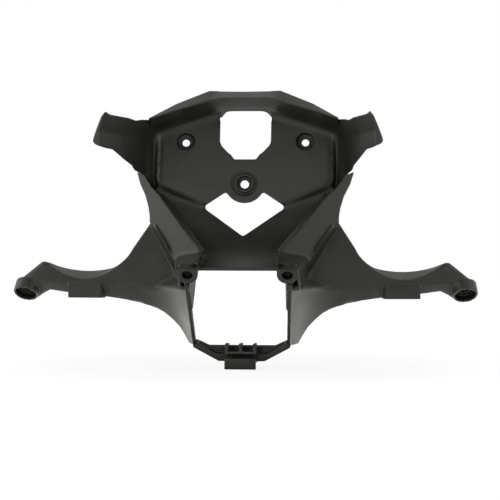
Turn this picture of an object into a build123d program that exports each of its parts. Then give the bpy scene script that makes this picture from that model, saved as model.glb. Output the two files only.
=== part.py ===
from build123d import *
from math import cos, radians, sin
import os

os.makedirs("parts", exist_ok=True)

# Fairing stay in millimetres: X to the right, Y away from the rider, Z up.
# The origin is the middle screw hole at the front face of the instrument panel.
# Only the right half is drawn; the left half is its mirror image.
wall = 3.2
rib = 2.2
reach = 450.0
opening_cut = 70.0

# Instrument panel
panel_tilt = 14.0
panel_depth = 12.0
panel_edge_radius = 6.0
panel_half_width = 88.0
panel_top = 74.6
panel_top_flat = 24.0
panel_shoulder = 52.0
panel_low_corner = -1.5
panel_corner_radius = 11.0
panel_rib_length = 70.0
panel_rib_middle = 25.0

# Screw seats of the panel
screw_half_pitch = 58.6
screw_height = 42.6
screw_radius = 3.6
screw_recess_radius = 8.6
screw_recess_depth = 5.2
seat_floor = 2.0
seat_relief_radius = 6.4
seat_clearance = 20.0
ring_height = 0.0
ring_hole_radius = 4.1
ring_recess_radius = 7.4
ring_recess_depth = 4.2
ring_crest_radius = 9.8
ring_groove_radius = 12.7
ring_rise = 1.2
lobe_radius = 19.6

# Hood over the panel
hood_blend = 8.0
hood_sink = 0.8

# Ears
ear_wall = 3.6
dimple_length = 9.0
dimple_width = 2.2
dimple_depth = 0.9
dimple_slope = 24.0

# Window in the panel and vee below it, as seen from the front
window_half_width = 24.9
window_top = 71.0
window_waist = 38.6
window_step = 29.8
window_foot = 23.4
window_foot_half_width = 10.6
window_radius = 8.4
vee_half_width = 40.4
vee_corner = -23.6
vee_apex = 3.4
vee_bottom = -52.0
vee_radius = 2.8

# Legs and arms
leg_depth = 16.0
knee_depth = 11.0
scoop_depth = 16.0
arm_rib_places = (118, 137, 172, 190)

# Bottom bar and its clip
bar_front = 32.0
bar_depth = 14.0
clip_half_width = 14.8
clip_rib = 3.4
clip_rib_height = 9.6
clip_depth = 16.0
clip_strip = 2.2
clip_shelf = 2.6
clip_shelf_depth = 20.0
clip_lip = 3.4
clip_lip_height = 10.0

# Frame bosses
boss_centre = (45.9, -88.0, -88.6)
boss_slope = 38.0
boss_radius = 9.7
boss_flat = 6.5
boss_front_length = 10.0
boss_length = 18.0
boss_hole_radius = 4.9
boss_hole_depth = 7.0

# Fairing cups at the ends of the arms
cup_centre = (212.6, -9.0, -108.0)
cup_axis = (0.115, -0.565, -0.817)
cup_radius = 12.1
cup_bore_radius = 10.1
cup_depth = 7.0
cup_length = 12.0
cup_hole_radius = 5.0
cup_hole_depth = 5.0
shoulder_start = (195.2, -2.5, -82.6)
shoulder_end = (219.0, -4.5, -102.0)
shoulder_radius = 6.0

# Pads under the arms
pad_centre = (151.5, -15.0, -104.2)
pad_length = 35.0
pad_thickness = 11.0
pad_height = 14.6
pad_chamfer = 3.0
arm_turn = 10.4

panel_plane = Plane(
    origin=(0, 0, 0),
    x_dir=(1, 0, 0),
    z_dir=(0, -cos(radians(panel_tilt)), sin(radians(panel_tilt))),
)
SLAB = (Align.CENTER, Align.CENTER, Align.MAX)


def slab_plane(a, b, c):
    """Plane through three points with its normal on the rider's side."""
    normal = (Vector(*b) - Vector(*a)).cross(Vector(*c) - Vector(*a)).normalized()
    if normal.Y > 0:
        normal = normal * -1
    return Plane(origin=a, z_dir=normal)


def beside(path, distance):
    """Points of an open path moved to its left by a distance."""
    points = [Vector(*point) for point in path]
    runs = [(b - a).normalized() for a, b in zip(points, points[1:])]
    moved = []
    for point, before, after in zip(points, runs[:1] + runs, runs + runs[-1:]):
        across = Vector(-before.Y - after.Y, before.X + after.X).normalized()
        widen = 1 / Vector(-before.Y, before.X).dot(across)
        target = point + across * distance * widen
        moved.append((target.X, target.Y))
    return moved


def drawn(plane, *points):
    """Straight-sided face on a plane."""
    with BuildSketch(plane) as sketch:
        with BuildLine():
            Polyline(*points, close=True)
        make_face()
    return sketch.sketch


def plate(plane, depth, *points):
    """Straight-sided plate behind a plane."""
    with BuildPart() as body:
        add(drawn(plane, *points))
        extrude(amount=depth, dir=plane.z_dir * -1)
    return body.part


def prism(plane, *points):
    """Long body through a straight-sided face, to both sides of its plane."""
    with BuildPart() as body:
        add(drawn(plane.offset(-reach), *points))
        extrude(amount=2 * reach, dir=plane.z_dir)
    return body.part


def facet(outline, corners, thickness=wall, lift=0.0):
    """Flat wall behind the plane of three corners, trimmed to a front outline."""
    with BuildPart() as panel:
        add(outline.moved(Location((0, reach, 0))))
        extrude(amount=2 * reach, dir=(0, -1, 0))
        with Locations(slab_plane(*corners).offset(lift)):
            Box(2 * reach, 2 * reach, thickness, align=SLAB, mode=Mode.INTERSECT)
    return panel.part


def channel(points, corners, depth):
    """Open-backed box whose flat front lies in the plane of three corners."""
    outline = drawn(Plane.XZ, *points)
    with BuildSketch(Plane.XZ) as inside:
        offset(drawn(Plane.XY, *points), amount=-wall, kind=Kind.INTERSECTION)
    with BuildPart() as shell:
        add(facet(outline, corners, thickness=depth))
        add(facet(inside.sketch, corners, thickness=depth, lift=-wall), mode=Mode.SUBTRACT)
    return shell.part


# Instrument panel: a shallow tray, open at the back
with BuildPart() as panel:
    with BuildSketch(panel_plane) as panel_outline:
        with BuildLine():
            Polyline(
                (0, panel_top),
                (panel_top_flat, panel_top),
                (panel_half_width, panel_shoulder),
                (panel_half_width, panel_low_corner),
                (vee_half_width, vee_corner),
                (0, vee_corner),
                close=True,
            )
        make_face()
        mirror(about=Plane.YZ)
        corners = panel_outline.vertices().filter_by(lambda v: abs(v.X) > panel_half_width - 1)
        fillet(corners, panel_corner_radius)
    extrude(amount=-panel_depth)
    front = panel.faces().filter_by(panel_plane).sort_by(Axis.Y)[0]
    sides = front.edges().filter_by(
        lambda e: abs(e.center().X) > vee_half_width and e.center().Z < screw_height
    )
    fillet(sides, panel_edge_radius)
    with BuildSketch(panel_plane.offset(-wall)):
        offset(panel_outline.sketch_local, amount=-wall, kind=Kind.INTERSECTION)
    extrude(amount=-panel_depth, mode=Mode.SUBTRACT)
    with BuildSketch(panel_plane.offset(-wall / 2)):
        with Locations((0, screw_height)):
            Rectangle(2 * panel_half_width - wall, rib)
        with Locations((-screw_half_pitch, panel_rib_middle), (screw_half_pitch, panel_rib_middle)):
            Rectangle(rib, panel_rib_length)
    extrude(amount=-panel_depth + wall)

# Screw seats: recesses with a boss behind them, and the raised ring in the middle
screw_places = ((-screw_half_pitch, screw_height), (screw_half_pitch, screw_height))
ring_places = ((0, ring_height),)
screw_seat_back = -(screw_recess_depth + seat_floor)
ring_seat_back = -(ring_recess_depth + seat_floor)
with BuildPart() as seats:
    for places, radius, end in (
        (screw_places, screw_recess_radius + wall, screw_seat_back),
        (ring_places, ring_recess_radius + wall, ring_seat_back),
        (ring_places, ring_crest_radius, ring_rise),
    ):
        with BuildSketch(panel_plane):
            with Locations(*places):
                Circle(radius)
        extrude(amount=end)

# Hood over the panel: upright stations of (Y, Z) at the root, the front ridge and the rear edge
hood_stations = (
    (0.0, (17.7, 72.4), (-14.0, 81.1), (4.0, 89.2)),
    (23.0, (17.6, 72.0), (-14.0, 80.9), (4.0, 89.6)),
    (34.4, (16.8, 68.6), (-15.0, 77.9), (3.0, 90.2)),
    (66.0, (14.2, 58.1), (-18.0, 68.6), (-4.5, 76.8)),
    (91.0, (12.5, 49.0), (-23.0, 60.4), (-18.0, 61.9)),
)


def hood_section(x, root, ridge, rear):
    """Outline of the hood at one station, with the soft corner above the panel."""
    up = (sin(radians(panel_tilt)), cos(radians(panel_tilt)))
    run = Vector(ridge[0] - root[0], ridge[1] - root[1]).normalized()
    low = (root[0] - hood_blend * up[0] + hood_sink, root[1] - hood_blend * up[1])
    high = (root[0] + hood_blend * run.X, root[1] + hood_blend * run.Y)
    middle = ((low[0] + high[0] + 2 * root[0]) / 4, (low[1] + high[1] + 2 * root[1]) / 4)
    return drawn(
        Plane.YZ.offset(x), low, middle, high, ridge, rear,
        (root[0] + 1.5 * wall, root[1] + wall), (low[0] + wall - hood_sink, low[1]),
    )


def pocket_section(x, root, ridge, rear):
    """Outline of the hollow behind the hood at one station."""
    return drawn(
        Plane.YZ.offset(x),
        (ridge[0] + 3 * wall, ridge[1] + 0.3 * wall),
        (rear[0] + wall, rear[1] - 0.9 * wall),
        (rear[0] + 40, rear[1] + 8),
        (root[0] + 40, root[1] + wall),
        (root[0] + 1.5 * wall, root[1] + wall),
    )


def lofted(section, stations, side):
    """Ruled body through the sections at the stations of one side."""
    with BuildPart() as body:
        for x, root, ridge, rear in stations:
            add(section(side * x, root, ridge, rear))
        loft(ruled=True)
    return body.part


# Ear: a wall swept out towards the rider, with a turned end; paths of (X, Y) at three heights
ear_levels = (
    (-16.0, ((80, 10), (90, 5), (97, 0), (103, -20), (109, -46), (117, -70), (124, -92), (146, -80))),
    (43.0, ((82, 18), (90, 13), (97, -1), (104, -24), (111, -52), (119, -76), (126, -98), (148, -88))),
    (68.0, ((78, 16), (84, 2), (90, -21), (97, -40), (104, -57), (112, -79), (119, -100), (141, -92))),
)
ear_front = (
    (78, 52), (89.8, 60.6), (96, 60.0), (101.4, 58.0), (105.5, 59.2), (118.4, 59.5), (120.3, 61.2),
    (124.3, 56.2), (128.4, 46.4), (131.6, 38.0), (132.6, 34.6), (131.6, 32.4), (129.0, 30.6), (123.2, 28.8),
    (118.2, 28.4), (112.3, 22.0), (106.0, 15.6), (104.5, 11.5), (96.5, 6.5), (90, -3.5), (81.2, -12.2),
    (78, -6),
)
with BuildPart() as ear:
    for level, path in ear_levels:
        add(drawn(Plane.XY.offset(level), *path, *reversed(beside(path, ear_wall))))
    loft(ruled=True)
    add(prism(Plane.XZ, *ear_front), mode=Mode.INTERSECT)
    for dimple in ((108.4, -57.5, 49.5), (121.0, -93.0, 45.5)):
        with BuildSketch(Plane(origin=dimple, x_dir=(8, -23, 0), z_dir=(-23, -8, 0))):
            SlotOverall(dimple_length, dimple_width, rotation=dimple_slope)
        extrude(amount=dimple_depth, both=True, mode=Mode.SUBTRACT)

# Leg from the root of the ear down to the frame boss
leg_top = (106.0, 6.0, 11.3)
leg_waist = (91.6, -8.0, -38.9)
leg_kink = (36.0, -49.0, -67.3)
leg_knee = (64.0, -30.3, -72.0)
leg_toe = (46.0, -84.0, -77.3)
leg_bevel = facet(
    drawn(Plane.XZ, (82, -12.5), (58.8, -41.7), (36.2, -67.6), (32.6, -66.4), (55.2, -38.8), (78.6, -10)),
    ((81.2, -13.6, -12), (36, -49.5, -67.3), (54.9, -25.5, -38.6)),
)
leg = channel(
    (
        (106, 11.3), (102.4, -0.6), (96.4, -12.5), (92.9, -24.3), (91.7, -32.1), (91.6, -38.9),
        (85, -43.3), (73.4, -59.3), (63.2, -78.5), (40, -78.5), (36, -67.3), (58.4, -41.3),
        (81.2, -12), (90, -3.5), (96.5, 6.5),
    ),
    (leg_top, leg_waist, leg_kink), depth=leg_depth,
)
with BuildPart() as knee:
    add(facet(
        drawn(Plane.XZ, (36, -66), (64.5, -70.8), (58.4, -79.6), (55.5, -84.0), (53.0, -77.6), (36, -77.6)),
        (leg_kink, leg_knee, leg_toe), thickness=knee_depth,
    ))
    add(prism(Plane.YZ, (-95, -95), (-95, -60), (-28, -60), (-28, -95)), mode=Mode.INTERSECT)

# Ramp between the legs: one curved wall, trimmed to the gap seen from the front
ramp_profile = (
    (2.6, 8), (2.6, -4), (1, -15), (-6, -30), (-15, -45), (-26, -58), (-39, -67.5), (-55, -75), (-77, -81.4),
)
with BuildPart() as ramp:
    with BuildSketch(Plane.YZ):
        with BuildLine():
            face_line = Spline(*ramp_profile)
            back_line = Spline(*[(y + 0.7 * wall, z - 0.95 * wall) for y, z in ramp_profile])
            Line(face_line @ 0, back_line @ 0)
            Line(face_line @ 1, back_line @ 1)
        make_face()
    extrude(amount=reach, both=True)
    gap_side = ((85, 8), (87, -6), (60.5, -41.3), (38, -67.3), (38, -86))
    add(prism(Plane.XZ, *gap_side, *[(-x, z) for x, z in reversed(gap_side)]), mode=Mode.INTERSECT)

# Arm: web above the front ridge, band and skirt below it
ridge_end = (214.8, -11.0, -95.4)
ridge_bend = (98.0, -25.0, -100.0)
ridge_root = (57.0, -56.0, -101.7)
web_top = (91.6, 0.0, -38.9)
band_low = (98.0, -12.3, -117.0)
web_corners = (ridge_end, ridge_bend, web_top)
with BuildSketch(Plane.XZ) as web_outline:
    with BuildLine():
        Polyline((84, -41), (91.6, -38.9), (107.5, -63.4))
        ThreePointArc((107.5, -63.4), (115.8, -75.2), (126.9, -82.4))
        ThreePointArc((126.9, -82.4), (155.2, -85.7), (184, -80.8))
        Polyline(
            (184, -80.8), (192.5, -77.4), (195.2, -82.6), (210.6, -95.6), (98, -100),
            (60, -101.6), (55, -90), (55, -80), (71, -59), (84, -41),
        )
    make_face()


def scoop(grow):
    """Conical scoop over the arm, wider at the front than at the back."""
    with BuildPart() as cone:
        for y, left, bottom, right, top in (
            (-22.0, (116.4, -75.8), -95.6, (196, -75.4), -50),
            (5.0, (117.0, -76.2), -84.6, (195.3, -75.2), -50),
        ):
            with BuildSketch(Plane.XZ.offset(-y)):
                with BuildLine():
                    start = (left[0] - grow, left[1])
                    end = (right[0] + grow, right[1])
                    ThreePointArc(start, (155.2, bottom - grow), end)
                    Polyline(end, (end[0], top), (start[0], top), start)
                make_face()
        loft(ruled=True)
    return cone.part


with BuildPart() as web:
    add(facet(web_outline.sketch, web_corners))
    add(scoop(0), mode=Mode.SUBTRACT)
with BuildPart() as scoop_lining:
    add(facet(web_outline.sketch, web_corners, thickness=scoop_depth))
    add(scoop(wall), mode=Mode.INTERSECT)
    add(scoop(0), mode=Mode.SUBTRACT)
band = facet(
    drawn(
        Plane.XZ, (211.6, -95.4), (98, -100), (97, -117), (114.1, -113.1), (131.7, -110.6), (173.6, -106.2),
        (188.7, -104.0), (196, -107.5), (203, -112),
    ),
    (ridge_end, ridge_bend, band_low),
)
# Skirt under the leg: a curved wall between a path along its top and one level with its foot
skirt_paths = (
    (-93.5, ((47.3, -82.7), (56.5, -64.2), (67.5, -47.7), (82.5, -36.4), (98, -29.9), (112, -27.9))),
    (-157.9, ((43.2, -29.5), (52.5, -6.0), (64, 14.5), (80, 21.0), (98, 18.3), (112, 20.3))),
)
skirt_outline = (
    (104, -116.2), (104, -99.7), (57, -101.7), (46.5, -100), (43.8, -156), (52.6, -155.2), (57.2, -147.0),
    (62.2, -139.2), (68.8, -132.2), (76.4, -125.6), (83.4, -121.6), (90.6, -119.0), (98, -117.1),
)
with BuildPart() as skirt:
    for level, path in skirt_paths:
        with BuildSketch(Plane.XY.offset(level)):
            with BuildLine():
                skirt_face = Spline(*path)
                skirt_back = Spline(*beside(path, wall))
                Line(skirt_face @ 0, skirt_back @ 0)
                Line(skirt_face @ 1, skirt_back @ 1)
            make_face()
    loft(ruled=True)
    add(prism(Plane.XZ, *skirt_outline), mode=Mode.INTERSECT)
with BuildPart() as gusset:
    add(facet(
        drawn(Plane.XZ, (84, -100.8), (57, -101.7), (49, -101.7), (44, -84), (44, -76), (62, -76), (66, -84)),
        (ridge_root, (80, -31.5, -100.8), (62, -24, -88.5)),
    ))
    add(prism(Plane.YZ, (-80, -105), (-80, -75), (-10, -75), (-10, -105)), mode=Mode.INTERSECT)
with BuildPart() as throat:
    add(facet(
        drawn(
            Plane.XZ, (66, -71), (60, -79.4), (54.5, -86), (52, -94), (50, -102), (57, -102), (66, -84),
            (69, -76),
        ),
        (leg_knee, (57, -76, -81), (60, -42, -93)),
    ))
    add(prism(Plane.YZ, (-60, -103), (-80, -83), (-80, -70), (-22, -70), (-22, -103)), mode=Mode.INTERSECT)
with BuildPart() as neck:
    add(facet(
        drawn(Plane.XZ, (44.5, -103), (57, -103), (58, -90), (58, -82), (44.5, -82)),
        ((47, -76, -101.6), (56, -57.5, -101.6), (50, -60, -86)),
    ))
    add(prism(Plane.YZ, (-80, -104), (-80, -80), (-40, -80), (-40, -104)), mode=Mode.INTERSECT)
with BuildPart() as groove:
    add(facet(
        drawn(Plane.XZ, (85, -41), (73.4, -58.5), (60, -82), (66, -85), (79, -61), (91, -42)),
        ((85, -14.5, -43.3), (62.6, -33, -79.7), (90, -3.5, -44)),
    ))

# Ribs across the inside of the arm, between web and band
with BuildPart() as arm_ribs:
    for x in arm_rib_places:
        along = (ridge_end[0] - x) / (ridge_end[0] - ridge_bend[0])
        front_y = ridge_end[1] + along * (ridge_bend[1] - ridge_end[1])
        front_z = ridge_end[2] + along * (ridge_bend[2] - ridge_end[2])
        with BuildSketch(Plane.YZ.offset(x)):
            add(drawn(
                Plane.XY, (front_y + 1.5, front_z), (front_y + 6.5, front_z + 8),
                (front_y + 12, front_z - 1), (front_y + 11, front_z - 7.5),
            ))
        extrude(amount=rib)

# Frame round the lower opening: side rails with a cheek at the top, and the bottom bar
with BuildPart() as rail:
    add(prism(Plane.XZ, (49.8, -90), (46.4, -157.9), (43.4, -150.6), (46.4, -90)))
    add(
        prism(Plane.YZ, (-75, -90), (-80.5, -97.8), (-31, -157.9), (-27, -154.7), (-70, -90)),
        mode=Mode.INTERSECT,
    )
with BuildPart() as cheek:
    add(prism(Plane.XY, (45.6, -84), (41.6, -40), (44.8, -40), (49.0, -84)))
    add(
        prism(
            Plane.YZ, (-76, -84), (-77, -101.6), (-60, -121), (-57, -117), (-46, -98), (-40, -84), (-40, -72),
        ),
        mode=Mode.INTERSECT,
    )

bar_outline = (
    (0, -155.8), (31.8, -155.8), (43.3, -150.4), (47, -152), (45.8, -157.9), (21.9, -170.7), (0, -170.7),
)
bar_recess = ((0, -150), (41, -150), (41, -154), (24, -163.5), (0, -163.5))
with BuildPart() as bar:
    add(plate(Plane.XZ.offset(bar_front), bar_depth, *bar_outline))
    add(plate(Plane.XZ.offset(bar_front), bar_depth / 2, *bar_recess), mode=Mode.SUBTRACT)
    mirror(about=Plane.YZ)

# Clip in the middle of the bar: three ribs, a strip across them, a shelf below and its front lip
clip_side = clip_half_width - clip_rib / 2
with BuildPart() as clip:
    with Locations((0, -38, -162.6)):
        Box(2 * clip_half_width, clip_depth, clip_strip)
    with Locations((0, -49, -172.2)):
        Box(2 * clip_half_width, clip_lip, clip_lip_height)
    with Locations((0, -40, -170.6)):
        Box(2 * clip_half_width, clip_shelf_depth, clip_shelf)
    with Locations((-clip_side, -37, -158.0), (0, -37, -158.0), (clip_side, -37, -158.0)):
        Box(clip_rib, clip_depth, clip_rib_height)

# Frame boss with a flat on top
boss_plane = Plane(
    origin=boss_centre, x_dir=(1, 0, 0), z_dir=(0, -cos(radians(boss_slope)), -sin(radians(boss_slope)))
)
with BuildPart() as boss:
    with BuildSketch(boss_plane) as boss_outline:
        Circle(boss_radius)
        Rectangle(boss_radius, boss_flat, align=(Align.MAX, Align.MIN))
        with Locations((0, boss_flat)):
            Rectangle(4 * boss_radius, boss_radius, align=(Align.CENTER, Align.MIN), mode=Mode.SUBTRACT)
    extrude(amount=-boss_length)
    with Locations(slab_plane(leg_kink, leg_knee, leg_toe)):
        Box(2 * reach, 2 * reach, reach, align=SLAB, mode=Mode.INTERSECT)
    extrude(boss_outline.sketch, amount=-boss_front_length)

# Rounded shoulder at the end of the arm, and the cup below it
shoulder_run = Vector(*shoulder_end) - Vector(*shoulder_start)
with BuildPart() as shoulder:
    with BuildSketch(Plane(origin=shoulder_start, z_dir=shoulder_run)):
        Circle(shoulder_radius)
    extrude(amount=shoulder_run.length)
    with Locations(shoulder_start):
        Sphere(shoulder_radius)
cup_plane = Plane(origin=cup_centre, z_dir=cup_axis)
with BuildPart() as cup:
    with BuildSketch(cup_plane):
        Circle(cup_radius)
    extrude(amount=-cup_length)

with BuildPart() as pad:
    with Locations(Location(pad_centre, (0, 0, arm_turn))):
        Box(pad_length, pad_thickness, pad_height)
    chamfer(pad.edges().filter_by(Axis.Z).group_by(Axis.Y)[0].sort_by(Axis.X)[0], pad_chamfer)

# Openings seen from the front: the window in the panel and the vee under it
with BuildPart() as window:
    with BuildSketch(Plane.XZ) as window_outline:
        add(drawn(
            Plane.XY, (0, window_top), (window_half_width, window_top), (window_half_width, window_waist),
            (16.6, window_step), (14.2, window_step - 1.4), (window_foot_half_width, window_foot),
            (0, window_foot),
        ))
        mirror(about=Plane.YZ)
        fillet(window_outline.vertices().filter_by(lambda v: abs(v.X) > window_half_width - 1), window_radius)
    extrude(amount=opening_cut, both=True)

with BuildPart() as vee:
    with BuildSketch(Plane.XZ) as vee_outline:
        add(drawn(
            Plane.XY, (0, vee_apex), (vee_half_width, vee_corner), (0, vee_bottom),
            (-vee_half_width, vee_corner),
        ))
        Circle(lobe_radius, mode=Mode.SUBTRACT)
        fillet(vee_outline.vertices(), vee_radius)
    extrude(amount=opening_cut, both=True)

# Bores of the panel seats, cut from a little in front of the panel, and the reliefs behind them
with BuildPart() as screw_holes:
    for places, radius, start, end in (
        (screw_places, screw_radius, seat_clearance, -seat_clearance),
        (ring_places, ring_hole_radius, seat_clearance, -seat_clearance),
        (screw_places, screw_recess_radius, seat_clearance, -screw_recess_depth),
        (ring_places, ring_recess_radius, seat_clearance, -ring_recess_depth),
        (screw_places, seat_relief_radius, screw_seat_back, screw_seat_back - seat_clearance),
        (ring_places, seat_relief_radius, ring_seat_back, ring_seat_back - seat_clearance),
    ):
        with BuildSketch(panel_plane.offset(start)):
            with Locations(*places):
                Circle(radius)
        extrude(amount=end - start)
    with BuildSketch(panel_plane.offset(seat_clearance)):
        with Locations(*ring_places):
            Circle(ring_groove_radius)
            Circle(ring_crest_radius, mode=Mode.SUBTRACT)
    extrude(amount=-seat_clearance - ring_rise)

with BuildPart() as side_holes:
    with BuildSketch(boss_plane):
        Circle(boss_hole_radius)
    extrude(amount=-boss_hole_depth)
    with BuildSketch(cup_plane):
        Circle(cup_bore_radius)
    extrude(amount=-cup_depth)
    with BuildSketch(cup_plane):
        Circle(cup_hole_radius)
    extrude(amount=-cup_depth - cup_hole_depth)

with BuildPart() as stay:
    for half in (leg, leg_bevel, band):
        add(half)
    for half in (
        knee, gusset, throat, neck, groove, web, scoop_lining, skirt, arm_ribs, ear, cheek, rail, boss,
        shoulder, cup, pad,
    ):
        add(half.part)
    add(side_holes.part, mode=Mode.SUBTRACT)
    mirror(about=Plane.YZ)
    add(panel.part)
    add(seats.part)
    for side in (1, -1):
        add(lofted(hood_section, hood_stations, side))
    for side in (1, -1):
        add(lofted(pocket_section, hood_stations[:-1], side), mode=Mode.SUBTRACT)
    for whole in (ramp, bar, clip):
        add(whole.part)
    for opening in (window, vee, screw_holes):
        add(opening.part, mode=Mode.SUBTRACT)

stay.part.label = "stay"
export_step(stay.part, "parts/stay.step")
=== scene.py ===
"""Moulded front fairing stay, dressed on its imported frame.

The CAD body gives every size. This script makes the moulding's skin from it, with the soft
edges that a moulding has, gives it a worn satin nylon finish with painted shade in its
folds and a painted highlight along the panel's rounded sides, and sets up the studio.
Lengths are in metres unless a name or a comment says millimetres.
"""

import logging
import math
from dataclasses import dataclass, field
from enum import Enum
from typing import NamedTuple

import bpy
from mathutils import Euler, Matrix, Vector


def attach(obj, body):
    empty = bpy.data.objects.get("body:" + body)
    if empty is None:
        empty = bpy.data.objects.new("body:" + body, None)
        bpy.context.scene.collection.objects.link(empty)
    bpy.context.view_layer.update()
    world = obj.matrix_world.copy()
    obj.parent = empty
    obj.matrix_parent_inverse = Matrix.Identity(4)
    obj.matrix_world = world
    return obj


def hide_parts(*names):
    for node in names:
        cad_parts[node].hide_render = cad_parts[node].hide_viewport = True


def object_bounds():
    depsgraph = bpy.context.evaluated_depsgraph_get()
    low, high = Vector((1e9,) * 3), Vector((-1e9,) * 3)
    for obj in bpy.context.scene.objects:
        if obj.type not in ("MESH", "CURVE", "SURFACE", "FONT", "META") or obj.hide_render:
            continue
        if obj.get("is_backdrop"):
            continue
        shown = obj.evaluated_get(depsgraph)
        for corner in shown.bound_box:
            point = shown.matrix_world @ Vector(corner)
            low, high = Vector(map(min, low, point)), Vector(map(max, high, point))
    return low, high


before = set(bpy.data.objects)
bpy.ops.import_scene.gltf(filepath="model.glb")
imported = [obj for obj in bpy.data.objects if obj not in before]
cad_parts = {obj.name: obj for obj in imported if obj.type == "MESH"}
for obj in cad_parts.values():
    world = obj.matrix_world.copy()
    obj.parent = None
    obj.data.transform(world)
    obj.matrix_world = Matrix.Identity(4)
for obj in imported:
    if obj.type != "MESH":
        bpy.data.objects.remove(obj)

LOG = logging.getLogger("fairing_stay")
MM_PER_M = 1000.0
VALUE_SOCKET = "NodeSocketFloat"
CAMERA_RAY = "Is Camera Ray"
WHITE = (1.0, 1.0, 1.0, 1.0)
LAMP_TONE = (1.0, 0.995, 0.965)


class Axis(Enum):
    """Axes that the bright patches of the surroundings are centred on."""

    X = "X"
    Y = "Y"
    Z = "Z"


class Band(NamedTuple):
    """Span of values that is stretched to run from 0 to 1.

    Args:
        zero: Value that becomes 0.
        one: Value that becomes 1, which may be the lower of the two.
    """

    zero: float
    one: float


class Texture(NamedTuple):
    """Character of a noise texture.

    Args:
        detail: Number of finer layers.
        roughness: Share of each finer layer.
    """

    detail: float
    roughness: float


@dataclass
class Graph:
    """A node tree with short calls for adding and joining nodes.

    Args:
        tree: The node tree that the calls work on.
    """

    tree: bpy.types.NodeTree

    def add(self, kind: str, **settings: object) -> bpy.types.Node:
        """Add a node.

        Args:
            kind: Node type without its ShaderNode prefix, or a full type name.
            settings: Properties to set on the node.

        Returns:
            The new node.
        """
        full = kind if kind.startswith("Node") else "ShaderNode" + kind
        node = self.tree.nodes.new(full)
        for name, value in settings.items():
            setattr(node, name, value)
        return node

    def join(self, source: bpy.types.NodeSocket, target: bpy.types.NodeSocket) -> None:
        """Link an output to an input."""
        self.tree.links.new(source, target)

    def feed(self, socket: bpy.types.NodeSocket, value: object) -> None:
        """Fill an input.

        Args:
            socket: The input.
            value: An output to link to it, or a plain value to set on it.
        """
        if isinstance(value, bpy.types.NodeSocket):
            self.join(value, socket)
        else:
            socket.default_value = value

    def maths(
        self, operation: str, first: object, second: object = 0.0, clamp: bool = True
    ) -> bpy.types.NodeSocket:
        """Add a maths node.

        Args:
            operation: Name of the operation.
            first: First value or output.
            second: Second value or output, where the operation has one.
            clamp: Whether the result is held between 0 and 1.

        Returns:
            The node's result.
        """
        node = self.add("Math", operation=operation, use_clamp=clamp)
        self.feed(node.inputs[0], first)
        self.feed(node.inputs[1], second)
        return node.outputs[0]

    def noise(self, where: object, scale: object, texture: Texture) -> bpy.types.NodeSocket:
        """Add a noise texture.

        Args:
            where: Place that it is read at.
            scale: Its scale.
            texture: Its detail and roughness.

        Returns:
            The texture's value.
        """
        node = self.add("TexNoise")
        self.feed(node.inputs["Vector"], where)
        self.feed(node.inputs["Scale"], scale)
        self.feed(node.inputs["Detail"], texture.detail)
        self.feed(node.inputs["Roughness"], texture.roughness)
        return node.outputs["Fac"]

    def span(self, value: object, zero: object, one: object) -> bpy.types.NodeSocket:
        """Stretch a value to run from 0 to 1, clamped.

        Args:
            value: Value or output to stretch.
            zero: Value or output that becomes 0.
            one: Value or output that becomes 1.

        Returns:
            The stretched value.
        """
        node = self.add("MapRange", clamp=True)
        self.feed(node.inputs["Value"], value)
        self.feed(node.inputs["From Min"], zero)
        self.feed(node.inputs["From Max"], one)
        return node.outputs["Result"]

    def blend(self, factor: object, first: object, second: object) -> bpy.types.NodeSocket:
        """Mix two colours.

        Args:
            factor: Share of the second colour.
            first: First colour.
            second: Second colour.

        Returns:
            The colour between them.
        """
        node = self.add("Mix", data_type="RGBA")
        self.feed(node.inputs["Factor"], factor)
        self.feed(node.inputs[6], first)
        self.feed(node.inputs[7], second)
        return node.outputs[2]


def empty_material(name: str) -> tuple[bpy.types.Material, Graph]:
    """Make a material without nodes.

    Args:
        name: Name of the new material.

    Returns:
        The material and its empty node tree.
    """
    material = bpy.data.materials.new(name)
    material.use_nodes = True
    material.node_tree.nodes.clear()
    return material, Graph(material.node_tree)


class EffectGroup:
    """A shader node group with named value inputs and outputs."""

    name: str = "effect"
    inputs: dict[str, float] = {}
    outputs: tuple[str, ...] = ("Mask",)

    def __init__(self) -> None:
        """Make the group's tree, its sockets and its nodes."""
        self.tree = bpy.data.node_groups.new(self.name, "ShaderNodeTree")
        sockets = self.tree.interface
        for label, value in self.inputs.items():
            socket = sockets.new_socket(label, in_out="INPUT", socket_type=VALUE_SOCKET)
            socket.default_value = value
        for label in self.outputs:
            sockets.new_socket(label, in_out="OUTPUT", socket_type=VALUE_SOCKET)
        graph = Graph(self.tree)
        self.draw(graph, graph.add("NodeGroupInput"), graph.add("NodeGroupOutput"))

    def draw(self, graph: Graph, source: bpy.types.Node, result: bpy.types.Node) -> None:
        """Fill the group with nodes.

        Args:
            graph: The group's own tree.
            source: The group's input node.
            result: The group's output node.
        """
        raise NotImplementedError

    def place(self, graph: Graph) -> bpy.types.Node:
        """Put the group in a material.

        Args:
            graph: The material's tree.

        Returns:
            The group node.
        """
        node = graph.add("Group")
        node.node_tree = self.tree
        return node


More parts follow.
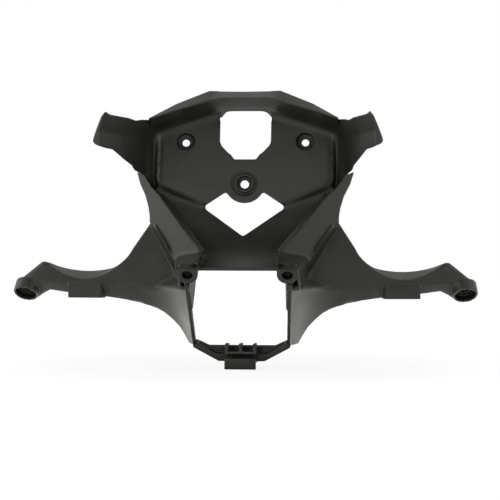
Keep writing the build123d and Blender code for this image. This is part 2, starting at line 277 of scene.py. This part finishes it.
class MouldGrain(EffectGroup):
    """Fine pebbled grain and slow waviness of a moulded skin."""

    name = "mould_grain"
    inputs = {"Grain Scale": 2600.0, "Wave Scale": 55.0}
    outputs = ("Height", "Mottle")
    grain_texture = Texture(2.0, 0.55)
    wave_texture = Texture(3.0, 0.5)
    grain_share = 0.65
    wave_share = 0.35
    mottle_band = Band(0.3, 0.72)

    def draw(self, graph: Graph, source: bpy.types.Node, result: bpy.types.Node) -> None:
        """Mix fine grain with a slow wave, and give out a colour mottle too.

        Args:
            graph: The group's own tree.
            source: The group's input node.
            result: The group's output node.
        """
        place = graph.add("NewGeometry").outputs["Position"]
        grain = graph.noise(place, source.outputs["Grain Scale"], self.grain_texture)
        wave = graph.noise(place, source.outputs["Wave Scale"], self.wave_texture)
        slow = graph.maths("MULTIPLY", wave, self.wave_share)
        fine = graph.maths("MULTIPLY", grain, self.grain_share)
        graph.join(graph.maths("ADD", slow, fine), result.inputs["Height"])
        graph.join(graph.span(wave, *self.mottle_band), result.inputs["Mottle"])


class EdgeWear(EffectGroup):
    """Rubbed edges: where the skin bends outwards, broken up by noise."""

    name = "edge_wear"
    inputs = {"Edge Start": 0.53, "Patch Scale": 140.0, "Amount": 0.6}
    bend_band = Band(0.0, 0.06)
    patch_texture = Texture(5.0, 0.62)
    patch_band = Band(0.42, 0.66)

    def draw(self, graph: Graph, source: bpy.types.Node, result: bpy.types.Node) -> None:
        """Multiply the bend of the skin by patches.

        Args:
            graph: The group's own tree.
            source: The group's input node.
            result: The group's output node.
        """
        skin = graph.add("NewGeometry")
        start = source.outputs["Edge Start"]
        bend = graph.maths("SUBTRACT", skin.outputs["Pointiness"], start, clamp=False)
        sharp = graph.span(bend, *self.bend_band)
        scale = source.outputs["Patch Scale"]
        patch = graph.noise(skin.outputs["Position"], scale, self.patch_texture)
        rubbed = graph.maths("MULTIPLY", sharp, graph.span(patch, *self.patch_band))
        worn = graph.maths("MULTIPLY", rubbed, source.outputs["Amount"])
        graph.join(worn, result.inputs["Mask"])


class FineScuffs(EffectGroup):
    """Short pale scuffs from handling, scattered thinly over the skin."""

    name = "fine_scuffs"
    inputs = {"Scuff Scale": 90.0, "Cover": 0.66}
    slant_turn = (0.4, 0.9, 0.3)
    slant_stretch = (1.0, 9.0, 6.0)
    streak_texture = Texture(6.0, 0.7)
    peak_band = Band(0.0, 0.05)
    region_scale = 22.0
    region_texture = Texture(2.0, 0.5)
    region_band = Band(0.5, 0.64)

    def draw(self, graph: Graph, source: bpy.types.Node, result: bpy.types.Node) -> None:
        """Stretch noise along one slant, and keep only its peaks, in some regions.

        Args:
            graph: The group's own tree.
            source: The group's input node.
            result: The group's output node.
        """
        place = graph.add("NewGeometry").outputs["Position"]
        slant = graph.add("Mapping")
        graph.join(place, slant.inputs["Vector"])
        graph.feed(slant.inputs["Rotation"], self.slant_turn)
        graph.feed(slant.inputs["Scale"], self.slant_stretch)
        scale = source.outputs["Scuff Scale"]
        streak = graph.noise(slant.outputs["Vector"], scale, self.streak_texture)
        above = graph.maths("SUBTRACT", streak, source.outputs["Cover"], clamp=False)
        peaks = graph.span(above, *self.peak_band)
        area = graph.noise(place, self.region_scale, self.region_texture)
        scuffs = graph.maths("MULTIPLY", peaks, graph.span(area, *self.region_band))
        graph.join(scuffs, result.inputs["Mask"])


class SideHighlights(EffectGroup):
    """A painted highlight: a pale line along each of the panel's two rounded sides,
    stronger on the left.
    """

    name = "painted_side_highlights"
    inputs = {"Side": 0.0846, "Half Width": 0.0027}
    foot_band = Band(-0.001, 0.008)
    head_band = Band(0.05, 0.042)
    front_band = Band(0.022, 0.016)
    left_band = Band(0.01, -0.01)
    right_share = 0.4
    left_extra = 0.6
    patch_scale = 260.0
    patch_texture = Texture(4.0, 0.6)
    patch_band = Band(0.35, 0.6)
    least_patch = 0.45

    def draw(self, graph: Graph, source: bpy.types.Node, result: bpy.types.Node) -> None:
        """Draw the painted highlight as a soft upright line on each side, broken up by
        noise.

        Args:
            graph: The group's own tree.
            source: The group's input node.
            result: The group's output node.
        """
        place = graph.add("NewGeometry").outputs["Position"]
        split = graph.add("SeparateXYZ")
        graph.join(place, split.inputs[0])
        across, depth, height = (split.outputs[axis.value] for axis in Axis)
        outward = graph.maths("ABSOLUTE", across, clamp=False)
        off = graph.maths("SUBTRACT", outward, source.outputs["Side"], clamp=False)
        apart = graph.maths("ABSOLUTE", off, clamp=False)
        share = graph.maths("DIVIDE", apart, source.outputs["Half Width"])
        line = graph.maths("SUBTRACT", 1.0, share)
        # The painted highlight is made stronger on the left side, where more light falls.
        left = graph.maths("MULTIPLY", graph.span(across, *self.left_band), self.left_extra)
        noise = graph.noise(place, self.patch_scale, self.patch_texture)
        patch = graph.maths("ADD", graph.span(noise, *self.patch_band), self.least_patch)
        limits = (
            patch,
            graph.span(height, *self.foot_band),
            graph.span(height, *self.head_band),
            graph.span(depth, *self.front_band),
            graph.maths("ADD", left, self.right_share),
        )
        mask = line
        for limit in limits:
            mask = graph.maths("MULTIPLY", mask, limit)
        graph.join(mask, result.inputs["Mask"])


class CreviceShade(EffectGroup):
    """Painted shade in folds, creases and corners that little light reaches."""

    name = "painted_crevice_shade"
    inputs = {"Open Low": 0.25, "Open High": 0.85}
    reach = 0.05
    rays = 8

    def draw(self, graph: Graph, source: bpy.types.Node, result: bpy.types.Node) -> None:
        """Give 1 in closed places and 0 in open ones.

        Args:
            graph: The group's own tree.
            source: The group's input node.
            result: The group's output node.
        """
        shelter = graph.add("AmbientOcclusion", samples=self.rays)
        graph.feed(shelter.inputs["Distance"], self.reach)
        limits = (source.outputs["Open Low"], source.outputs["Open High"])
        openness = graph.span(shelter.outputs["AO"], *limits)
        graph.join(graph.maths("SUBTRACT", 1.0, openness), result.inputs["Mask"])


@dataclass(frozen=True)
class SatinNylon:
    """Satin black glass-filled nylon, lightly grained and a little rubbed, with painted
    shade in its folds and a painted highlight along the panel's rounded sides.

    Args:
        deep: Colour of the untouched skin.
        dusty: Colour of the skin's slightly paler mottles.
        rubbed: Colour of rubbed edges and scuffs, and of the painted highlight on the
            panel's sides.
        crevice_shade_colour: Colour of the painted shade in folds, creases and corners.
        shine: Specular level of the open skin.
        shine_loss: How much of that level the painted shade takes off in folds and corners.
        roughness: Roughness of the untouched skin.
        roughness_swing: How much the mottles change the roughness.
        grain_height: Height of the grain.
        grain_strength: Share of the grain that the surface shows.
    """

    deep: tuple[float, float, float, float] = (0.0185, 0.0192, 0.0172, 1.0)
    dusty: tuple[float, float, float, float] = (0.026, 0.0268, 0.0242, 1.0)
    rubbed: tuple[float, float, float, float] = (0.16, 0.163, 0.15, 1.0)
    crevice_shade_colour: tuple[float, float, float, float] = (0.008, 0.0083, 0.0074, 1.0)
    shine: float = 0.56
    shine_loss: float = 0.3
    roughness: float = 0.36
    roughness_swing: float = 0.08
    grain_height: float = 0.00006
    grain_strength: float = 0.35

    def material(self, name: str) -> bpy.types.Material:
        """Build the nylon material.

        Args:
            name: Name of the new material.

        Returns:
            The material.
        """
        material, graph = empty_material(name)
        shader = graph.add("BsdfPrincipled")
        output = graph.add("OutputMaterial")
        graph.join(shader.outputs["BSDF"], output.inputs["Surface"])
        grain = MouldGrain().place(graph)
        skin = graph.blend(grain.outputs["Mottle"], self.deep, self.dusty)
        effects = (EdgeWear(), FineScuffs(), SideHighlights(), CreviceShade())
        wear, scuffs, sides, deep = (
            effect.place(graph).outputs["Mask"] for effect in effects
        )
        # Edge wear and scuffs are real wear; the lines on the panel's sides are a painted
        # highlight.
        wear_and_highlight = graph.maths("MAXIMUM", graph.maths("MAXIMUM", wear, scuffs), sides)
        # Painted shade: folds and corners are darkened towards a near-black colour.
        shaded_skin = graph.blend(deep, skin, self.crevice_shade_colour)
        colour = graph.blend(wear_and_highlight, shaded_skin, self.rubbed)
        graph.join(colour, shader.inputs["Base Color"])
        # Painted shade also takes specular level off in folds and corners.
        loss = graph.maths("MULTIPLY", deep, self.shine_loss)
        shine = graph.maths("SUBTRACT", self.shine, loss)
        graph.join(shine, shader.inputs["Specular IOR Level"])
        swing = graph.maths("MULTIPLY", grain.outputs["Mottle"], self.roughness_swing)
        rough = graph.maths("ADD", swing, self.roughness)
        graph.join(rough, shader.inputs["Roughness"])
        bump = graph.add("Bump")
        graph.feed(bump.inputs["Strength"], self.grain_strength)
        graph.feed(bump.inputs["Distance"], self.grain_height)
        graph.join(grain.outputs["Height"], bump.inputs["Height"])
        graph.join(bump.outputs["Normal"], shader.inputs["Normal"])
        return material


@dataclass(frozen=True)
class SoftCrease:
    """A line on the right half along which two walls run into each other softly.

    Args:
        start: One end of the line in millimetres.
        end: Other end of the line in millimetres.
        reach: Distance in millimetres over which the softening fades out.
    """

    start: tuple[float, float, float]
    end: tuple[float, float, float]
    reach: float

    def weight(self, place: Vector) -> float:
        """Tell how near a place is to the line, the left half counted as the right.

        Args:
            place: Position in metres.

        Returns:
            1 on the line, falling to 0 at its reach.
        """
        point = Vector((abs(place.x), place.y, place.z)) * MM_PER_M
        first = Vector(self.start)
        run = Vector(self.end) - first
        along = max(0.0, min(1.0, (point - first).dot(run) / run.length_squared))
        return max(0.0, 1.0 - (point - first - run * along).length / self.reach)


@dataclass
class StayMoulding:
    """The one-piece stay: its skin is the CAD body with soft moulded edges.

    Args:
        node: Name of the CAD node.
        name: Name of the finished piece.
        voxel: Cell of the remesh.
        relax_steps: Rounds of smoothing that soften every edge.
        relax_factor: Strength of each round.
        most_triangles: Triangles kept in the finished skin.
        creases: Lines along which the walls blend widely.
        crease_steps: Rounds of smoothing along those lines.
        crease_gain: How many times a crease's weight counts, up to full strength.
        finish: The nylon finish.
    """

    node: str = "stay"
    name: str = "stay_moulding"
    voxel: float = 0.0007
    relax_steps: int = 5
    relax_factor: float = 0.5
    most_triangles: int = 190000
    creases: tuple[SoftCrease, ...] = (
        SoftCrease((38.0, -48.0, -67.5), (63.0, -31.0, -72.0), 11.0),
        SoftCrease((60.0, -48.0, -101.0), (84.0, -27.0, -100.5), 7.0),
        SoftCrease((62.0, -24.0, -88.5), (82.0, -27.0, -99.0), 8.0),
        SoftCrease((0.0, 17.7, 72.4), (34.0, 16.8, 68.6), 9.0),
        SoftCrease((34.0, 16.8, 68.6), (90.0, 12.5, 49.5), 10.0),
        SoftCrease((104.0, -24.0, -99.5), (101.0, -12.0, -116.0), 6.0),
        SoftCrease((203.0, -10.0, -90.0), (206.0, -10.0, -100.0), 6.0),
        SoftCrease((84.0, -1.0, -2.5), (41.0, -5.7, -22.9), 6.0),
        SoftCrease((86.0, 1.0, 1.0), (86.0, 11.5, 45.0), 8.0),
    )
    crease_steps: int = 160
    crease_gain: float = 2.0
    finish: SatinNylon = field(default_factory=SatinNylon)

    def skin(self) -> bpy.types.Object:
        """Make the skin from the CAD body.

        Returns:
            A new object with soft edges, in the CAD body's place.
        """
        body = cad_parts[self.node]
        piece = bpy.data.objects.new(self.name, body.data.copy())
        bpy.context.collection.objects.link(piece)
        cells = piece.modifiers.new("cells", "REMESH")
        cells.mode = "VOXEL"
        cells.voxel_size = self.voxel
        relax = piece.modifiers.new("relax", "SMOOTH")
        relax.factor = self.relax_factor
        relax.iterations = self.relax_steps
        self.settle(piece)
        self.soften(piece)
        piece.data.calc_loop_triangles()
        thin = piece.modifiers.new("thin", "DECIMATE")
        thin.ratio = min(1.0, self.most_triangles / len(piece.data.loop_triangles))
        self.settle(piece)
        return piece

    def soften(self, piece: bpy.types.Object) -> None:
        """Blend the walls along the soft creases.

        Args:
            piece: The skin, after its remesh.
        """
        group = piece.vertex_groups.new(name="creases")
        for vertex in piece.data.vertices:
            weight = max(crease.weight(vertex.co) for crease in self.creases)
            if weight > 0.0:
                pull = min(1.0, self.crease_gain * weight)
                group.add([vertex.index], pull, "REPLACE")
        blend = piece.modifiers.new("blend", "SMOOTH")
        blend.factor = self.relax_factor
        blend.iterations = self.crease_steps
        blend.vertex_group = group.name
        self.settle(piece)
        piece.vertex_groups.clear()

    @staticmethod
    def settle(piece: bpy.types.Object) -> None:
        """Turn a piece's modifiers into its mesh.

        Args:
            piece: The piece, which has no modifiers afterwards.
        """
        graph = bpy.context.evaluated_depsgraph_get()
        piece.data = bpy.data.meshes.new_from_object(piece.evaluated_get(graph))
        piece.modifiers.clear()

    def build(self) -> bpy.types.Object:
        """Make, dress and register the moulding.

        Returns:
            The finished piece.
        """
        piece = self.skin()
        piece.data.name = self.name
        piece.data.shade_smooth()
        piece.data.materials.clear()
        piece.data.materials.append(self.finish.material("satin_black_nylon"))
        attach(piece, "root")
        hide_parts(self.node)
        return piece


@dataclass(frozen=True)
class SoftLamp:
    """A rectangular soft lamp, which the camera doesn't see.

    Args:
        name: Name of the lamp.
        place: Where it stands.
        size: Width and height.
        watts: Its power.
        tone: Its colour.
    """

    name: str
    place: tuple[float, float, float]
    size: tuple[float, float]
    watts: float
    tone: tuple[float, float, float] = LAMP_TONE

    def build(self, aim: Vector) -> None:
        """Add the lamp.

        Args:
            aim: Point that it faces.
        """
        data = bpy.data.lights.new(self.name, "AREA")
        data.shape = "RECTANGLE"
        data.size, data.size_y = self.size
        data.energy = self.watts
        data.color = self.tone
        lamp = bpy.data.objects.new(self.name, data)
        lamp.location = self.place
        lamp.visible_camera = False
        facing = (aim - Vector(self.place)).to_track_quat("-Z", "Y")
        lamp.rotation_euler = facing.to_euler()
        bpy.context.collection.objects.link(lamp)


@dataclass(frozen=True)
class SkyPatch:
    """A soft bright patch of the surroundings, centred on one axis.

    Args:
        axis: The axis.
        edge: Height on that axis, of a unit direction, at which the patch begins.
        full: Height at which it has its full brightness.
        strength: That brightness.
    """

    axis: Axis
    edge: float
    full: float
    strength: float

    def draw(self, graph: Graph, direction: bpy.types.Node) -> bpy.types.NodeSocket:
        """Add the patch's brightness to the world's tree.

        Args:
            graph: Tree of the world.
            direction: Node whose outputs are the parts of the direction.

        Returns:
            The brightness of the patch in each direction.
        """
        mask = graph.span(direction.outputs[self.axis.value], self.edge, self.full)
        return graph.maths("MULTIPLY", mask, self.strength, clamp=False)


@dataclass(frozen=True)
class LevelCard:
    """A level rectangle of the set, which isn't part of the stay.

    Args:
        name: Name of the rectangle.
        low: Its lowest X and Y.
        high: Its highest X and Y.
        height: Its level.
        seen: Whether the camera sees it.
    """

    name: str
    low: tuple[float, float]
    high: tuple[float, float]
    height: float
    seen: bool = False

    def build(self, material: bpy.types.Material) -> None:
        """Add the rectangle and mark it as part of the set.

        Args:
            material: Its material.
        """
        (left, front), (right, back) = self.low, self.high
        corners = ((left, front), (right, front), (right, back), (left, back))
        mesh = bpy.data.meshes.new(self.name)
        mesh.from_pydata([(x, y, self.height) for x, y in corners], [], [(0, 1, 2, 3)])
        mesh.materials.append(material)
        card = bpy.data.objects.new(self.name, mesh)
        bpy.context.collection.objects.link(card)
        card.visible_camera = self.seen
        card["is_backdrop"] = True


@dataclass
class Studio:
    """Pale floor, soft lamps and sky, two black cards, and the photograph's camera.

    The camera doesn't see the lamps or the black cards. One card lies behind the stay and
    one hangs above it, and they keep the floor's and the sky's light off the panel's hood.

    Args:
        lamps: The soft lamps.
        sky: The bright patches of the surroundings.
        sky_tone: Colour of those patches.
        aim: Point that the lamps face.
        camera_place: Camera position.
        camera_tilt: Tilt of the camera from straight down in degrees.
        camera_turn: Turn of the camera about Z in degrees.
        camera_roll: Roll of the camera in degrees.
        focal_mm: Focal length in millimetres.
        sensor_mm: Width of the camera's sensor in millimetres.
        floor_size: Side of the floor.
        floor_colour: Colour of the floor.
        floor_white: Brightness of the floor to the camera.
        floor_shadow: Share of the real shadow that the camera sees near the object.
        shadow_fade: Distances from the world's origin between which that share fades out.
        card_black: Colour of the black cards.
        behind_low: Lowest X and Y of the card behind.
        behind_high: Highest X and Y of that card.
        behind_lift: Its height above the floor.
        above_card: The card above.
    """

    lamps: tuple[SoftLamp, ...] = (
        SoftLamp("lamp_front", (0.0, -1.4, 0.72), (1.2, 0.35), 1.8),
        SoftLamp("strip_left", (-0.36, -1.45, 0.05), (0.15, 1.0), 2.4),
        SoftLamp("strip_right", (0.36, -1.45, 0.05), (0.15, 1.0), 1.0),
        SoftLamp("under_card", (0.0, 0.01, -0.172), (0.6, 0.2), 0.36),
    )
    sky: tuple[SkyPatch, ...] = (
        SkyPatch(Axis.Z, 0.45, 0.8, 0.6),
        SkyPatch(Axis.Y, 0.5, 0.85, 0.5),
        SkyPatch(Axis.X, -0.45, -0.8, 1.5),
        SkyPatch(Axis.X, 0.45, 0.8, 0.9),
    )
    sky_tone: tuple[float, float, float] = LAMP_TONE
    aim: tuple[float, float, float] = (0.0, -0.02, -0.05)
    camera_place: tuple[float, float, float] = (0.1102, -1.496, -0.065)
    camera_tilt: float = 90.0
    camera_turn: float = 4.0
    camera_roll: float = 0.15
    focal_mm: float = 111.34
    sensor_mm: float = 36.0
    floor_size: float = 8.0
    floor_colour: tuple[float, float, float, float] = (0.92, 0.92, 0.91, 1.0)
    floor_white: float = 1.05
    floor_shadow: float = 0.2
    shadow_fade: Band = Band(0.24, 0.38)
    card_black: tuple[float, float, float, float] = (0.01, 0.01, 0.01, 1.0)
    behind_low: tuple[float, float] = (-0.25, 0.34)
    behind_high: tuple[float, float] = (0.25, 0.95)
    behind_lift: float = 0.002
    above_card: LevelCard = LevelCard("flag_above", (-0.13, -0.24), (0.13, 0.06), 0.34)

    def camera(self) -> None:
        """Add the camera at the photograph's viewing angle."""
        data = bpy.data.cameras.new("camera")
        data.lens = self.focal_mm
        data.sensor_width = self.sensor_mm
        camera = bpy.data.objects.new("camera", data)
        camera.location = self.camera_place
        tilt, turn, roll = (
            math.radians(angle)
            for angle in (self.camera_tilt, self.camera_turn, self.camera_roll)
        )
        upright = Euler((tilt, 0.0, turn)).to_matrix()
        rolled = Euler((0.0, 0.0, roll)).to_matrix()
        camera.rotation_euler = (upright @ rolled).to_euler()
        bpy.context.collection.objects.link(camera)
        bpy.context.scene.camera = camera

    def floor(self, height: float) -> None:
        """Lay the pale floor, white to the camera but for a share of the real shadow.

        Args:
            height: Level of the floor.
        """
        material, graph = empty_material("pale_floor")
        matt = graph.add("BsdfDiffuse")
        graph.feed(matt.inputs["Color"], self.floor_colour)
        white = graph.add("Emission")
        graph.feed(white.inputs["Strength"], self.floor_white)
        apart = graph.add("VectorMath", operation="LENGTH")
        graph.join(graph.add("NewGeometry").outputs["Position"], apart.inputs[0])
        near = graph.maths(
            "SUBTRACT", 1.0, graph.span(apart.outputs["Value"], *self.shadow_fade)
        )
        shadow = graph.maths("MULTIPLY", near, self.floor_shadow)
        veil = graph.maths(
            "MULTIPLY",
            graph.add("LightPath").outputs[CAMERA_RAY],
            graph.maths("SUBTRACT", 1.0, shadow),
        )
        self.mix(graph, veil, (matt, white), graph.add("OutputMaterial"))
        half = self.floor_size / 2
        floor = LevelCard("floor", (-half, -half), (half, half), height, seen=True)
        floor.build(material)

    def black_cards(self, floor_height: float) -> None:
        """Add the black cards that keep light off the panel's hood.

        Args:
            floor_height: Level of the floor.
        """
        level = floor_height + self.behind_lift
        behind = LevelCard("flag_behind", self.behind_low, self.behind_high, level)
        for card in (behind, self.above_card):
            material, graph = empty_material(card.name)
            black = graph.add("BsdfDiffuse")
            graph.feed(black.inputs["Color"], self.card_black)
            output = graph.add("OutputMaterial")
            graph.join(black.outputs[0], output.inputs["Surface"])
            card.build(material)

    def surroundings(self) -> None:
        """Add white surroundings for the camera, and soft bright patches for the light."""
        world = bpy.data.worlds.new("surroundings")
        world.use_nodes = True
        world.node_tree.nodes.clear()
        graph = Graph(world.node_tree)
        direction = graph.add("SeparateXYZ")
        graph.join(graph.add("TexCoord").outputs["Generated"], direction.inputs[0])
        total = self.sky[0].draw(graph, direction)
        for patch in self.sky[1:]:
            total = graph.maths("ADD", total, patch.draw(graph, direction), clamp=False)
        light = graph.add("Background")
        graph.feed(light.inputs["Color"], (*self.sky_tone, 1.0))
        graph.join(total, light.inputs["Strength"])
        white = graph.add("Background")
        graph.feed(white.inputs["Color"], WHITE)
        camera_ray = graph.add("LightPath").outputs[CAMERA_RAY]
        self.mix(graph, camera_ray, (light, white), graph.add("OutputWorld"))
        bpy.context.scene.world = world

    @staticmethod
    def mix(
        graph: Graph,
        share: bpy.types.NodeSocket,
        shaders: tuple[bpy.types.Node, bpy.types.Node],
        output: bpy.types.Node,
    ) -> None:
        """Mix two shaders and send the mixture out.

        Args:
            graph: Tree of the material or the world.
            share: Share of the second shader.
            shaders: The two shaders.
            output: Output node of the tree.
        """
        mixture = graph.add("MixShader")
        graph.join(share, mixture.inputs["Fac"])
        graph.join(shaders[0].outputs[0], mixture.inputs[1])
        graph.join(shaders[1].outputs[0], mixture.inputs[2])
        graph.join(mixture.outputs[0], output.inputs["Surface"])

    def build(self, floor_height: float) -> None:
        """Set up the whole studio.

        Args:
            floor_height: Level of the floor.
        """
        bpy.context.scene.view_settings.view_transform = "Standard"
        self.camera()
        self.floor(floor_height)
        self.black_cards(floor_height)
        self.surroundings()
        for lamp in self.lamps:
            lamp.build(Vector(self.aim))


def main() -> None:
    """Build the stay and its studio."""
    logging.basicConfig(level=logging.INFO, format="%(name)s: %(message)s")
    low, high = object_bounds()
    Studio().build(low[2])
    LOG.info("studio: floor at %.4f m", low[2])
    moulding = StayMoulding().build()
    LOG.info("%s: %d faces", moulding.name, len(moulding.data.polygons))
    bpy.context.view_layer.update()
    low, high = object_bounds()


if __name__ == "__main__":
    main()
